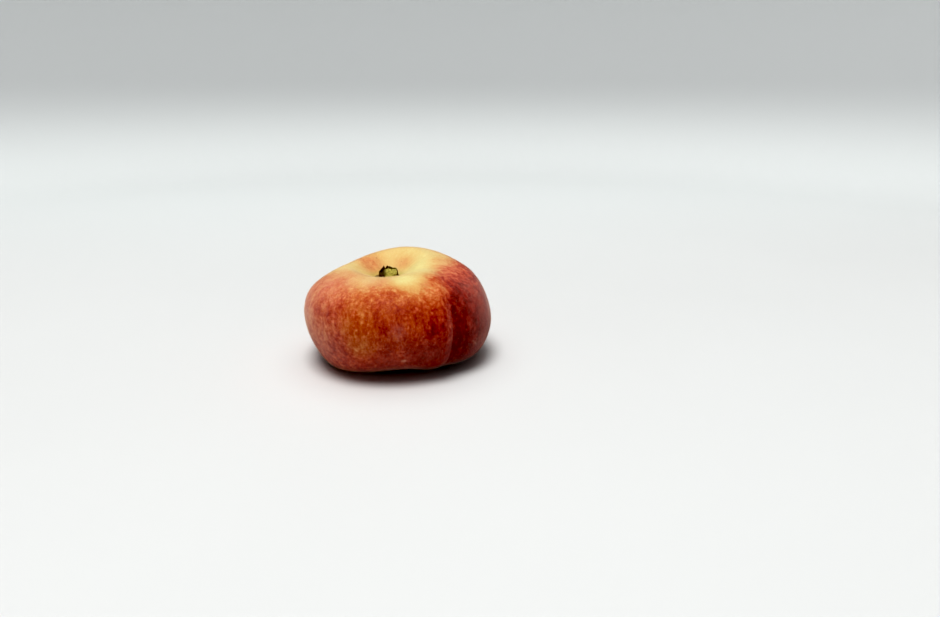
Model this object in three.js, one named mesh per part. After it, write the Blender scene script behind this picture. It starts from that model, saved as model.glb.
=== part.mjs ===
// A flat peach, the squat kind shaped like a cushion with a hollow in its middle. One solid is the fruit,
// with its stem hollow, its seam and the shallow basin underneath. The other is the torn remnant of the
// stalk, standing on the flat scar at the bottom of the stem hollow.
//
// Units are millimetres and +Z is up. The origin is on the surface that the fruit rests on, under the middle
// of its outline. Azimuths are degrees about +Z from +X: 90 is the back, 180 the left and -90 the front.
import * as THREE from "three";

// ---------- driving dimensions ----------
const WIDTH = 68; // across the belly
const HEIGHT = 35.4; // from the resting surface to the rim round the stem hollow
const SCAR_RADIUS = 4.1; // of the flat scar that the stalk stands on
const SCAR_HEIGHT = 29.4;
const HOLLOW_OFFSET = { x: -0.4, y: 1.2 }; // the stem hollow isn't over the middle of the fruit

const SEGMENTS = 90; // round the fruit
const STEPS = 5; // between one ring and the next
const CROWDING = 0.66; // how far the meridians gather at the seam: 0 spaces them evenly

// ---------- the average meridian ----------
// The rings that the skin passes through, from the edge of the stalk's scar down to the blossom end. r is the
// distance from the axis and z the height.
const belly = WIDTH / 2;
const RINGS = [
  { name: "scar edge", r: SCAR_RADIUS, z: SCAR_HEIGHT },
  { name: "hollow wall", r: 8.6, z: SCAR_HEIGHT + 2.4 },
  { name: "rim", r: 15.7, z: HEIGHT },
  { name: "shoulder", r: 29.2, z: 30.1 },
  { name: "belly", r: belly, z: 16 },
  { name: "hip", r: 28.9, z: 4.2 },
  { name: "foot", r: 17.6, z: -0.3 },
  { name: "basin wall", r: 9, z: 2.4 },
  { name: "blossom end", r: 0, z: 4.2 },
];
const ring = Object.fromEntries(RINGS.map(({ name }, i) => [name, i]));
const LAST = RINGS.length - 1;

// ---------- what makes this fruit uneven ----------
// Each swelling pushes the skin away from the axis and up, most at its own azimuth and ring. around is its
// reach in degrees and along its reach in rings.
const SWELLINGS = [
  { name: "high back right rim", azimuth: 60, ring: "rim", around: 40, along: 1.2, out: 2.4, up: 1.1 },
  { name: "low front rim", azimuth: -100, ring: "rim", around: 60, along: 0.9, out: -0.3, up: -2 },
  { name: "seam's dip in the rim", azimuth: -24, ring: "rim", around: 30, along: 0.7, out: 0, up: -1.6 },
  { name: "low back left shoulder", azimuth: 150, ring: "shoulder", around: 50, along: 1, out: -2, up: -5.3 },
  { name: "full right shoulder", azimuth: 0, ring: "shoulder", around: 40, along: 0.7, out: 0.5, up: -0.2 },
  { name: "flat left belly", azimuth: -175, ring: "belly", around: 50, along: 0.9, out: -2.9, up: 0.8 },
  { name: "full right belly", azimuth: -10, ring: "belly", around: 40, along: 0.9, out: 2.1, up: 0.6 },
  { name: "low left hip", azimuth: -160, ring: "hip", around: 42, along: 0.9, out: -3.6, up: -2.2 },
  { name: "undercut front hip", azimuth: -85, ring: "hip", around: 42, along: 0.9, out: -3.7, up: 0.5 },
  { name: "short front foot", azimuth: -85, ring: "foot", around: 42, along: 0.7, out: -3.6, up: 1.1 },
  { name: "full right hip", azimuth: -15, ring: "hip", around: 42, along: 0.8, out: 3.2, up: -0.9 },
];

// ---------- the seam ----------
// It runs from the stem hollow over the shoulder to the blossom end, and bends as it goes. The skin on its
// left swells and rolls into the groove, and the skin on its right comes up slowly. The numbers are at each
// ring in turn.
const SEAM = {
  azimuth: [6, 2, -18, -47, -51.8, -49.5, -47, -52, -55],
  lip: [0, 0.1, 0.3, 0.5, 0.6, 0.5, 0.3, 0.2, 0],
  dip: [0, 0.4, 0.7, 1.0, 1.2, 1.0, 0.7, 0.5, 0],
};
const LIP = { from: -4, reach: 4 }; // the swelling on the left
const GROOVE = { left: 1.9, right: 5.5 }; // how far the groove reaches on each side

// ---------- the stalk's remnant ----------
const STUB_RADIUS = 3.6;
const STUB_HEIGHT = 3.6;
const STUB_SEGMENTS = 48;

const rad = THREE.MathUtils.degToRad;
const smooth = THREE.MathUtils.smoothstep;
const turn = (angle) => Math.atan2(Math.sin(angle), Math.cos(angle));
const bell = (distance, reach) => Math.exp(-((distance / reach) ** 2));

// The value at a place between the rings, on a smooth curve through the numbers at each ring.
const between = (numbers, place) =>
  new THREE.CubicInterpolant(RINGS.map((_, i) => i), numbers, 1).evaluate(place)[0];

// The curve through the rings. One more point at each end keeps it level as it reaches the axis.
function meridian() {
  const points = RINGS.map(({ r, z }) => new THREE.Vector3(r, z, 0));
  const inside = new THREE.Vector3(0, SCAR_HEIGHT - 1.2, 0);
  const across = new THREE.Vector3(-RINGS[LAST - 1].r, RINGS[LAST - 1].z, 0);
  return new THREE.CatmullRomCurve3([inside, ...points, across]);
}

// Every point of the meridian with its place among the rings and the way that the skin faces there.
function stations() {
  const curve = meridian();
  const list = [];
  for (let i = 0; i <= LAST * STEPS; i++) {
    const place = i / STEPS;
    const u = (1 + place) / (LAST + 2);
    const { x, y } = curve.getPoint(u);
    const along = curve.getTangent(u);
    const seam = {
      azimuth: rad(between(SEAM.azimuth, place)),
      lip: between(SEAM.lip, place),
      dip: between(SEAM.dip, place),
    };
    list.push({ place, r: Math.max(x, 0), z: y, faceOut: -along.y, faceUp: along.x, seam });
  }
  list[list.length - 1].r = 0;
  return list.reverse();
}

// How far the fold lifts the skin, at a distance in millimetres to the right of the seam.
function fold(distance, seam) {
  const reach = distance < 0 ? GROOVE.left : GROOVE.right;
  return seam.lip * bell(distance - LIP.from, LIP.reach) - seam.dip * bell(distance, reach);
}

function fruit() {
  const list = stations();
  const points = list.map(({ r, z }) => new THREE.Vector2(r, z));
  points.push(new THREE.Vector2(0, SCAR_HEIGHT));
  const geometry = new THREE.LatheGeometry(points, SEGMENTS).rotateX(Math.PI / 2);
  const position = geometry.attributes.position;
  for (let i = 0; i < position.count; i++) {
    const station = list[i % points.length];
    if (!station) {
      position.setXYZ(i, HOLLOW_OFFSET.x, HOLLOW_OFFSET.y, SCAR_HEIGHT);
      continue;
    }
    const { place, r, z, faceOut, faceUp, seam } = station;
    const column = Math.floor(i / points.length) % SEGMENTS;
    const round = turn((column / SEGMENTS) * 2 * Math.PI);
    const fromSeam = round - CROWDING * Math.sin(round);
    const azimuth = seam.azimuth + fromSeam;
    let out = 0;
    let up = 0;
    for (const swelling of SWELLINGS) {
      const much =
        bell(turn(azimuth - rad(swelling.azimuth)), rad(swelling.around)) *
        bell(place - ring[swelling.ring], swelling.along);
      out += swelling.out * much;
      up += swelling.up * much;
    }
    // The scar stays flat and round, and every meridian ends at the one blossom end.
    const free = smooth(place, 0, 1) * (1 - smooth(place, LAST - 1, LAST));
    const lift = fold(r * fromSeam, seam);
    const far = r + free * (out + lift * faceOut);
    const high = z + free * (up + lift * faceUp);
    // The top slides over to the hollow's middle, and the belly stays where it is.
    const shift = 1 - smooth(place, ring.rim - 0.5, ring.belly);
    position.setXYZ(
      i,
      far * Math.cos(azimuth) + shift * HOLLOW_OFFSET.x,
      far * Math.sin(azimuth) + shift * HOLLOW_OFFSET.y,
      Math.max(high, 0),
    );
  }
  return geometry;
}

// A ragged stump: bark standing up round a torn core that sinks to one side.
function stub() {
  const outline = [
    [0, 0],
    [0.86, 0],
    [1, 0.3],
    [0.97, 0.72],
    [1, 1],
    [0.84, 0.97],
    [0.72, 0.7],
    [0.5, 0.76],
    [0.26, 0.86],
    [0, 0.8],
  ];
  const points = outline.map(([r, z]) => new THREE.Vector2(r * STUB_RADIUS, z * STUB_HEIGHT));
  const geometry = new THREE.LatheGeometry(points, STUB_SEGMENTS).rotateX(Math.PI / 2);
  const position = geometry.attributes.position;
  for (let i = 0; i < position.count; i++) {
    const [r, z] = outline[i % points.length];
    const azimuth = ((Math.floor(i / points.length) % STUB_SEGMENTS) / STUB_SEGMENTS) * 2 * Math.PI;
    const ragged =
      0.12 * Math.sin(2 * azimuth + 0.4) + 0.08 * Math.sin(5 * azimuth + 2.1) + 0.04 * Math.sin(11 * azimuth);
    const lobe = 1 + 0.06 * Math.cos(2 * azimuth) + 0.035 * Math.sin(5 * azimuth + 1);
    const sunk = 0.3 * bell(turn(azimuth - rad(-140)), rad(50)) * r * (z > 0.5 ? 1 : 0);
    const far = r * STUB_RADIUS * lobe;
    const high = z * STUB_HEIGHT * (1 + (z > 0.6 ? r * r * ragged : 0) - sunk);
    position.setXYZ(i, far * Math.cos(azimuth), far * Math.sin(azimuth), high);
  }
  return geometry.translate(HOLLOW_OFFSET.x, HOLLOW_OFFSET.y, SCAR_HEIGHT);
}

function mesh(name, geometry, color, roughness) {
  const solid = new THREE.Mesh(geometry, new THREE.MeshStandardMaterial({ color, roughness, metalness: 0 }));
  solid.name = name;
  return solid;
}

const skin = mesh("fruit", fruit(), 0xb8451f, 0.62);
const stalk = mesh("stem_stub", stub(), 0x6b5a2c, 0.9);

// Put the origin under the middle of the outline.
const box = new THREE.Box3().setFromObject(skin);
const middle = box.getCenter(new THREE.Vector3());
for (const solid of [skin, stalk]) solid.geometry.translate(-middle.x, -middle.y, -box.min.z);

const peach = new THREE.Group();
peach.add(skin, stalk);
export default peach;
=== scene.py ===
# %% [markdown]
# # A flat peach, dressed for the table
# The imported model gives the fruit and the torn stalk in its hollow. This notebook gives them what makes a
# peach a peach: a blush that breaks into streaks and flecks, a seam with a soft fold, pale dots, a few
# corky marks, and down that catches the light at the edges. Sizes are in metres, and most of the numbers
# below are in millimetres times MM.

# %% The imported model
import math

import bmesh
import bpy
import numpy as np
from mathutils import Matrix, Vector, noise


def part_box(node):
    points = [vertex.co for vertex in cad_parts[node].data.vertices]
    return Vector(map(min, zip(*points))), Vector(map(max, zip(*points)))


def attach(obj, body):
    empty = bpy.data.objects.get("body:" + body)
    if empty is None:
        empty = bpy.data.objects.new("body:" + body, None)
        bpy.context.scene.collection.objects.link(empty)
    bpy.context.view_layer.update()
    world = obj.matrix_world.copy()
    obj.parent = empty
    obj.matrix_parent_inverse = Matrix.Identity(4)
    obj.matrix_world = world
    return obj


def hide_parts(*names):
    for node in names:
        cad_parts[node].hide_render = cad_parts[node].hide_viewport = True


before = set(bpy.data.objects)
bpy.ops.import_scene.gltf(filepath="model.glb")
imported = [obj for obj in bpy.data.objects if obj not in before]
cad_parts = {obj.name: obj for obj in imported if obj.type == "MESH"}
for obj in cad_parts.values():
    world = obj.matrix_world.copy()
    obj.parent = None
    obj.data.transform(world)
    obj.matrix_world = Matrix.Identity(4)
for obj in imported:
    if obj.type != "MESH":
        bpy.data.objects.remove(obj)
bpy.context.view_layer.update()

MM = 0.001


# %% [markdown]
# ## Camera
# The fruit is seen from a hand's breadth above the table and 24 cm in front, near enough for its front to
# look larger than its back. A camera in Blender looks down its own -Z, so it is first tipped up by 90
# degrees less the pitch and then turned to the right, which puts the fruit left of the middle of the
# frame. A gamma below 1 then deepens the middle tones, and a black level makes the deepest shadows black
# and leaves white paper white, as a camera does.

# %% Camera
FOCAL_LENGTH, SENSOR_WIDTH = 26.81, 36  # mm
CAMERA_PLACE = (0, -0.2429, 0.0964)
PITCH, TURN = 18.07, 6.11  # degrees down and to the right
GAMMA = 0.8
BLACK_LEVEL = (0.036, 0.034, 0.034)  # higher in red, or shadows turn brown


def add_to_scene(name, data):
    """A new object at the origin, with that mesh, lamp or camera."""
    made = bpy.data.objects.new(name, data)
    bpy.context.scene.collection.objects.link(made)
    return made


camera_data = bpy.data.cameras.new("camera")
camera_data.lens = FOCAL_LENGTH
camera_data.sensor_width = SENSOR_WIDTH
camera = add_to_scene("camera", camera_data)
camera.location = CAMERA_PLACE
camera.rotation_euler = (math.radians(90 - PITCH), 0, math.radians(-TURN))
bpy.context.scene.camera = camera
view = bpy.context.scene.view_settings
view.view_transform = "Standard"
view.gamma = GAMMA
view.use_curve_mapping = True
view.curve_mapping.black_level = BLACK_LEVEL
view.curve_mapping.update()
print("camera", tuple(round(c, 4) for c in camera.location))

# %% [markdown]
# ## Table and backdrop
# A sheet of white paper that sweeps up behind the subject has no line where table meets wall. Here the
# sweep goes all the way round: a line of vertices from the middle of the floor outwards is bent up by
# spinning its last vertex, and then the whole line is spun round the middle. The fruit then has the same
# pale surround from every side. It isn't part of the peach, so it isn't attached to the peach's body.

# %% Helpers for meshes
SAME_SPOT = 1e-6  # vertices nearer than this, in metres, are one


def only(kind, found):
    """What is of that kind, because the operators give back vertices, edges and faces together."""
    return [e for e in found if isinstance(e, kind)]


def spin_round(bm, steps):
    """Turns everything in bm into a solid of revolution about the upright axis."""
    line = bm.verts[:] + bm.edges[:]
    full = 2 * math.pi
    bmesh.ops.spin(bm, geom=line, cent=(0, 0, 0), axis=(0, 0, 1), angle=full, steps=steps, use_merge=True)
    bmesh.ops.remove_doubles(bm, verts=bm.verts, dist=SAME_SPOT)


def new_piece(name, bm):
    """An object with the bmesh's mesh, at the origin."""
    mesh = bpy.data.meshes.new(name)
    bm.to_mesh(mesh)
    bm.free()
    return add_to_scene(name, mesh)


def smooth_faces(piece):
    for face in piece.data.polygons:
        face.use_smooth = True


# %% Table and backdrop
FLOOR_RADIUS, SWEEP_RADIUS, WALL_TOP = 0.50, 0.34, 1.1
SWEEP_STEPS, ROUND_STEPS = 24, 96

bm = bmesh.new()
middle = bm.verts.new((0, 0, 0))
edge = bm.verts.new((0, FLOOR_RADIUS, 0))
bm.edges.new((middle, edge))
sweep_middle = (0, FLOOR_RADIUS, SWEEP_RADIUS)
upright = math.radians(90)
bent = bmesh.ops.spin(bm, geom=[edge], cent=sweep_middle, axis=(1, 0, 0), angle=upright, steps=SWEEP_STEPS)
top = only(bmesh.types.BMVert, bent["geom_last"])
raised = bmesh.ops.extrude_vert_indiv(bm, verts=top)
for v in raised["verts"]:
    v.co.z = WALL_TOP
spin_round(bm, ROUND_STEPS)
bmesh.ops.recalc_face_normals(bm, faces=bm.faces)
backdrop = new_piece("backdrop", bm)
smooth_faces(backdrop)
print("backdrop", len(backdrop.data.polygons), "faces")

# %% [markdown]
# ## Materials: a short way to build nodes
# Every material below is a tree of nodes. node() adds one, and feed() sets its plain inputs and links the
# rest, so that a tree reads from top to bottom like a recipe. What a tree says most often, such as a
# blend of two colours or one mask times another, has a word of its own.

# %% Helpers for nodes
def feed(tree, made, **inputs):
    """Sets a node's inputs to plain values or links them to another node's output. n0 is its first input."""
    for key, value in inputs.items():
        numbered = key[0] == "n" and key[1:].isdigit()
        socket = made.inputs[int(key[1:]) if numbered else key.replace("_", " ")]
        if isinstance(value, bpy.types.NodeSocket):
            tree.links.new(value, socket)
        else:
            socket.default_value = value


def node(tree, kind, settings=None, **inputs):
    """Adds a node. settings are its own properties."""
    made = tree.nodes.new(kind)
    for key, value in (settings or {}).items():
        setattr(made, key, value)
    feed(tree, made, **inputs)
    return made


# %% Helpers for numbers
def maths(tree, operation, a, b=0.0, c=0.0, clamp=False):
    settings = {"operation": operation, "use_clamp": clamp}
    return node(tree, "ShaderNodeMath", settings, n0=a, n1=b, n2=c).outputs[0]


def vector_maths(tree, operation, a, b, c=(0, 0, 0)):
    return node(tree, "ShaderNodeVectorMath", {"operation": operation}, n0=a, n1=b, n2=c).outputs[0]


def times(tree, first, *others):
    for other in others:
        first = maths(tree, "MULTIPLY", first, other)
    return first


def times_plus(tree, a, b, c, clamp=False):
    """a times b, plus c."""
    return maths(tree, "MULTIPLY_ADD", a, b, c, clamp)


def span(tree, value, low, high, to_low=0.0, to_high=1.0):
    """value, stretched from low..high to to_low..to_high with soft ends, and held there."""
    settings = {"interpolation_type": "SMOOTHSTEP"}
    ends = {"n1": low, "n2": high, "n3": to_low, "n4": to_high}
    return node(tree, "ShaderNodeMapRange", settings, n0=value, **ends).outputs[0]


# %% Helpers for colours
def colour(red, green, blue):
    """A colour as a screen shows it, 0 to 255, turned into the numbers that shaders work in."""
    linear = [((c / 255 + 0.055) / 1.055) ** 2.4 if c > 10 else c / 255 / 12.92 for c in (red, green, blue)]
    return (*linear, 1.0)


def blend(tree, share, a, b):
    """A colour that is a where share is 0 and b where it is 1."""
    return node(tree, "ShaderNodeMix", {"data_type": "RGBA"}, n0=share, n6=a, n7=b).outputs[2]


def ramp(tree, value, stops, shades):
    """The colour at value on a band that has those shades at those stops."""
    made = node(tree, "ShaderNodeValToRGB", Fac=value)
    band = made.color_ramp
    while len(band.elements) < len(stops):
        band.elements.new(0.5)
    for element, at, shade in zip(band.elements, stops, shades):
        element.position = at
        element.color = colour(*shade)
    return made.outputs[0]


# %% Helpers for materials
def material(name):
    """A new material, its tree of nodes and its Principled BSDF."""
    made = bpy.data.materials.new(name)
    made.use_nodes = True
    return made, made.node_tree, made.node_tree.nodes["Principled BSDF"]


def bumped(tree, strength, distance, height):
    return node(tree, "ShaderNodeBump", Strength=strength, Distance=distance, Height=height).outputs[0]


# %% [markdown]
# ## White paper
# Graduated paper is white where the subject stands. Its fades are painted light and shade: it is painted a
# little whiter further back, where the lamps reach less, then greyer up the wall as painted shade, where
# less light falls, and almost black above that, which keeps the picture's top quiet and sends less stray
# light back. It isn't quite even either: a faint cloudiness is enough. Object coordinates are the place on
# the paper in metres, so each fade is from one distance or height to another.

# %% White paper
CLOUDS_PER_METRE = 6.0

paper, tree, shader = material("white paper")
where = node(tree, "ShaderNodeTexCoord").outputs["Object"]
cloud = node(tree, "ShaderNodeTexNoise", Scale=CLOUDS_PER_METRE, Detail=3.0, Vector=where).outputs["Fac"]
apart = node(tree, "ShaderNodeSeparateXYZ", n0=where).outputs
behind, height = apart["Y"], apart["Z"]
white = blend(tree, cloud, colour(212, 213, 212), colour(216, 217, 216))
# painted light: the paper is a little whiter further back, where the lamps reach less
white = blend(tree, span(tree, behind, 0.05, 0.40), white, colour(222, 225, 224))
# painted shade: greyer up the wall, where less light falls
white = blend(tree, span(tree, height, 0.0, 0.10), white, colour(186, 188, 188))
# painted shade: almost black higher up, which also sends less stray light back
white = blend(tree, span(tree, height, 0.2, 0.5), white, colour(50, 50, 50))
feed(tree, shader, Base_Color=white, Roughness=0.75, Specular_IOR_Level=0.25)
backdrop.data.materials.append(paper)
print("white paper has", len(tree.nodes), "nodes")

# %% [markdown]
# ## Light
# In a white room, daylight comes from above and a little from everywhere. Two round area lights do that,
# because the size of a light is what makes a shadow soft. The smaller is a window in the roof, in front
# of the fruit, and draws the shadow. The larger is a white ceiling that washes over the shadow's edge.
# Both are a little to the left, so the right cheek turns away. The room's own colour is almost nothing,
# just enough to keep the underside from going black.

# %% Light
LIGHTS = {  # where, how wide, and how many watts
    "roof window": ((-0.14, -0.42, 1.58), 0.8, 22.8),
    "white ceiling": ((-0.16, -0.10, 1.6), 2.6, 22.3),
}
AIM = Vector((0, 0, 0.02))  # the middle of the fruit
ROOM_COLOUR, ROOM_STRENGTH = (0.95, 0.98, 1.0, 1), 0.02

for name, (place, size, watts) in LIGHTS.items():
    data = bpy.data.lights.new(name, "AREA")
    data.shape = "DISK"
    data.size = size
    data.energy = watts
    lamp = add_to_scene(name, data)
    lamp.location = place
    lamp.rotation_euler = (AIM - Vector(place)).to_track_quat("-Z", "Y").to_euler()
world = bpy.data.worlds.new("room")
world.use_nodes = True
feed(world.node_tree, world.node_tree.nodes["Background"], Color=ROOM_COLOUR, Strength=ROOM_STRENGTH)
bpy.context.scene.world = world
print(len(LIGHTS), "lights")

# %% [markdown]
# ## The skin's mesh
# The CAD fruit is made of flat triangles. A copy of it has its doubled corners merged and its triangles
# joined to quads, and a Subdivision Surface rounds it off and gives it enough vertices, half a millimetre
# apart, to carry fine relief. The quads follow the lines of growth and crowd at the seam, where the
# relief is sharpest. A sculpted mesh would be as round, but its vertices wouldn't lie along the streaks.

# %% The skin's mesh
DOUBLED = 0.002 * MM  # corners nearer than this are one
FLAT_ENOUGH, SQUARE_ENOUGH = math.radians(40), math.radians(80)  # for two triangles to make a quad


def apply_modifiers(piece):
    """Makes what the modifiers show the piece's own mesh."""
    shown = piece.evaluated_get(bpy.context.evaluated_depsgraph_get())
    mesh = bpy.data.meshes.new_from_object(shown)
    piece.modifiers.clear()
    old, piece.data = piece.data, mesh
    name = old.name
    bpy.data.meshes.remove(old)
    mesh.name = name


cad_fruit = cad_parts["fruit"]
bm = bmesh.new()
bm.from_mesh(cad_fruit.data)
bmesh.ops.remove_doubles(bm, verts=bm.verts, dist=DOUBLED)
bmesh.ops.join_triangles(
    bm, faces=bm.faces, angle_face_threshold=FLAT_ENOUGH, angle_shape_threshold=SQUARE_ENOUGH
)
corners = [len(face.verts) for face in bm.faces]
print("quads", corners.count(4), "triangles", corners.count(3))
skin = new_piece("peach_skin", bm)
rounding = skin.modifiers.new("rounding", "SUBSURF")
rounding.levels = rounding.render_levels = 2
apply_modifiers(skin)
smooth_faces(skin)
print("skin", len(skin.data.vertices), "vertices,", len(skin.data.polygons), "faces")

# %% [markdown]
# ## Streaks run one way
# On a peach everything follows the lines of growth from the stalk to the blossom end, so each vertex is
# told how far round the fruit it is, how far down its side, and how far it is to the right of the seam.
# The side is a rough half circle about a point in the middle of the flesh, so the angle about that point
# gives the way down. A UV map would tear at the seam and pinch at both ends, and these numbers don't.
# NumPy works them out for all the vertices at once.

# %% Vertices as numbers
def threes(layer, field):
    """One row of three numbers for each vertex."""
    out = np.empty(len(layer) * 3, np.float32)
    layer.foreach_get(field, out)
    return out.reshape(-1, 3).astype(float)


def places(piece):
    """The vertices' places, in mm."""
    return threes(piece.data.vertices, "co") / MM


def facings(piece):
    return threes(piece.data.vertex_normals, "vector")


def move_to(piece, spots):
    piece.data.vertices.foreach_set("co", (spots * MM).astype(np.float32).ravel())
    piece.data.update()


def keep(piece, name, values):
    """Stores one number, or three, for each vertex, for the materials to read."""
    wide = values.ndim == 2
    layer = piece.data.attributes.new(name, "FLOAT_VECTOR" if wide else "FLOAT", "POINT")
    layer.data.foreach_set("vector" if wide else "value", values.astype(np.float32).ravel())


# %% Soft steps, bells and noise
def step(x, low, high):
    """0 at low, 1 at high and smooth between. low may be the larger."""
    t = np.clip((x - low) / (high - low), 0, 1)
    return t * t * (3 - 2 * t)


def bell(x, reach):
    """1 where x is 0, and almost nothing at twice the reach."""
    return np.exp(-((x / reach) ** 2))


def ripple(spots, size, seed):
    """Smooth noise from about -1 to 1, with lumps of that size in mm."""
    away = Vector((seed * 13.7, seed * 5.1, seed * 7.9))
    return np.array([noise.noise(Vector(p) / size + away) for p in spots])


def stripes(around, along, waves, length):
    """Noise in stripes that run down the fruit and meet again after a full turn."""
    spots = np.stack([waves * np.cos(around), waves * np.sin(around), along / length], axis=1)
    return np.array([noise.noise(Vector(p)) for p in spots])


# %% Round the fruit and down its side
stub_low, stub_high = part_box("stem_stub")
STALK = np.array([(stub_low.x + stub_high.x) / 2, (stub_low.y + stub_high.y) / 2, stub_low.z]) / MM
BLOSSOM = np.array([-3.4, -0.4, 4.2])  # the blossom end, in the basin underneath
FLESH_RADIUS, FLESH_HEIGHT = 17.0, 17.0  # the middle of the flesh, from the axis and above the table
AXIS_BENDS = (10, 29)  # between these heights the axis leans over from the blossom end to the stalk


def growth_lines(spots):
    """Each place's angle round the fruit, its way down from the rim, and its distance from the axis."""
    up = step(spots[:, 2], *AXIS_BENDS)[:, None]
    across = spots[:, :2] - (BLOSSOM[:2] * (1 - up) + STALK[:2] * up)
    far = np.hypot(across[:, 0], across[:, 1])
    angle = np.arctan2(far - FLESH_RADIUS, spots[:, 2] - FLESH_HEIGHT)
    angle = np.where(angle < -math.pi / 2, angle + 2 * math.pi, angle)
    return np.arctan2(across[:, 1], across[:, 0]), angle * FLESH_RADIUS, far


def from_axis(spots, end):
    """How far each place is from the upright line through the stalk or the blossom end."""
    return np.hypot(*(spots[:, :2] - end[:2]).T)


# %% The line of the seam
# How far down the side, in mm, and at what angle from +X, in degrees. It bends as it drops into the hollow.
SEAM = [
    (-13.8, 5.4), (-10.9, 4.4), (-7.3, -1.1), (-4.3, -8.9), (-1.3, -18.7), (1.5, -24.4), (4.7, -31.0),
    (8.1, -37.6), (11.1, -43.5), (13.7, -47.9), (16.2, -50.4), (19.0, -51.7), (27.5, -52.0), (32.8, -51.4),
    (38.4, -50.1), (46.2, -48.2), (54.6, -47.0), (60.7, -51.0), (69.0, -54.0),
]
SEAM_STEPS, SMOOTHED_OVER = 300, 9  # smoothed over 9 steps, so that the corners above don't show

seam_down, seam_round = np.array(SEAM).T
fine_down = np.linspace(seam_down[0], seam_down[-1], SEAM_STEPS)
fine_round = np.interp(fine_down, seam_down, np.radians(seam_round))
padded = np.pad(fine_round, SMOOTHED_OVER // 2, "edge")
fine_round = np.convolve(padded, np.ones(SMOOTHED_OVER) / SMOOTHED_OVER, "valid")

spots = places(skin)
around, down, far = growth_lines(spots)
off = around - np.interp(down, fine_down, fine_round)
beside = np.arctan2(np.sin(off), np.cos(off)) * far
print("down the side from", round(down.min(), 1), "to", round(down.max(), 1), "mm")

# %% [markdown]
# ## Relief
# A peach looks round, but light shows every shallow lump in it. Moving the vertices along their normals
# gives broad swellings, pleats that gather at the stalk, the crease of the seam with the lip that rolls
# over it, and the corky scars. All of it is real shape, and only the finest grain is left to bump.

# %% Scars
MARKS = {  # where it is in mm, its reach, its height and how corky it is
    "rub above the foot": ((1.1, -29.1, 8.9), 1.1, 0.10, 0.8),
    "second rub": ((-0.9, -29.4, 9.5), 0.6, 0.05, 0.5),
    "dry dab": ((-0.6, -33.0, 17.5), 1.7, 0.03, 0.35),
    "speck in the hollow": ((-12.6, 7.6, 32.6), 0.5, 0.06, 0.5),
    "nick behind": ((-9.0, 29.0, 20.0), 0.8, 0.07, 0.8),
}
SCRATCHES = {  # the same, but with the ends and corners of a line in place of one spot
    "bent scratch": (((24.7, -21.3, 12.1), (26.0, -19.4, 10.3), (27.2, -18.2, 11.0)), 0.45, 0.09, 0.6),
    "nick at the seam": (((15.4, -27.1, 24.8), (16.4, -25.5, 24.4)), 0.38, 0.04, 0.5),
    "nick past the seam": (((17.8, -24.7, 23.4), (19.8, -23.4, 23.5)), 0.38, 0.04, 0.42),
}


def from_spot(spots, spot):
    """How far each place is from that spot."""
    return np.linalg.norm(spots - np.array(spot), axis=1)


def from_line(spots, start, end):
    """How far each place is from the line between two others."""
    start, way = np.array(start), np.array(end) - np.array(start)
    share = np.clip((spots - start) @ way / (way @ way), 0, 1)
    return np.linalg.norm(spots - start - share[:, None] * way, axis=1)


scars = []
for corners, *rest in SCRATCHES.values():
    away = np.min([from_line(spots, *ends) for ends in zip(corners, corners[1:])], axis=0)
    scars.append((away, *rest))
for spot, *rest in MARKS.values():
    scars.append((from_spot(spots, spot), *rest))
cork = np.zeros(len(spots))
raised = np.zeros(len(spots))
for away, reach, height, dryness in scars:
    much = bell(away, reach)
    cork = np.maximum(cork, dryness * much)
    raised += height * much
print(len(scars), "scars")

# %% Lumps and pleats
LUMPS = [(13, 0.26), (5.5, 0.10), (2.1, 0.035)]  # their size and how high they stand, in mm
PLEAT_HEIGHT, PLEATS_ROUND, PLEAT_LENGTH = 0.30, 3.2, 16
UPPER_SIDE, LOWER_SIDE = 20, 12  # the hollow is above the one height, and the basin below the other

deep = from_axis(spots, STALK)  # 0 at the stalk, and growing up the hollow's wall
near_hollow = step(spots[:, 2], UPPER_SIDE, 27) * step(deep, 4.2, 6.5) * step(deep, 17, 9)
pleats = stripes(around, deep, PLEATS_ROUND, PLEAT_LENGTH)
lift = sum(height * ripple(spots, size, seed) for seed, (size, height) in enumerate(LUMPS, 1))
lift = lift + PLEAT_HEIGHT * pleats * near_hollow + raised
print("lumps and pleats from", round(lift.min(), 2), "to", round(lift.max(), 2), "mm")

# %% The seam's crease, and the blossom end
LIP_HEIGHT, CREASE_DEPTH = 0.04, 0.09
FILLED, LESS_FILLED = 0.75, 0.37  # of the CAD's groove over the shoulder, and so much less down the side
GROOVE = (1.9, 5.5)  # how far it reaches to its left and right
BLOSSOM_HEIGHT, BLOSSOM_REACH = 0.25, 2.0
FLAT_SCAR = (3.6, 4.4)  # nothing is lifted within the first of these round the stalk

sharp = step(far, 6, 10) * step(down, 14, 26)
lift += sharp * (LIP_HEIGHT * bell(beside + 1.3, 0.9) - CREASE_DEPTH * bell(beside - 0.1, 0.7))
shallow = step(far, 7, 11) * (FILLED - LESS_FILLED * step(down, 9, 22)) * (1 - step(down, 46, 60))
lift += shallow * bell(beside, np.where(beside < 0, *GROOVE))
lift += BLOSSOM_HEIGHT * bell(from_axis(spots, BLOSSOM), BLOSSOM_REACH) * (spots[:, 2] < LOWER_SIDE)
lift *= 1 - step(spots[:, 2], 1.5, 0.3)  # the foot stays on the table
lift *= step(deep, *FLAT_SCAR)
moved = spots + facings(skin) * lift[:, None]
moved[:, 2] = np.maximum(moved[:, 2], 0)
move_to(skin, moved)
spots = moved
print("relief from", round(lift.min(), 2), "to", round(lift.max(), 2), "mm")
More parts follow.
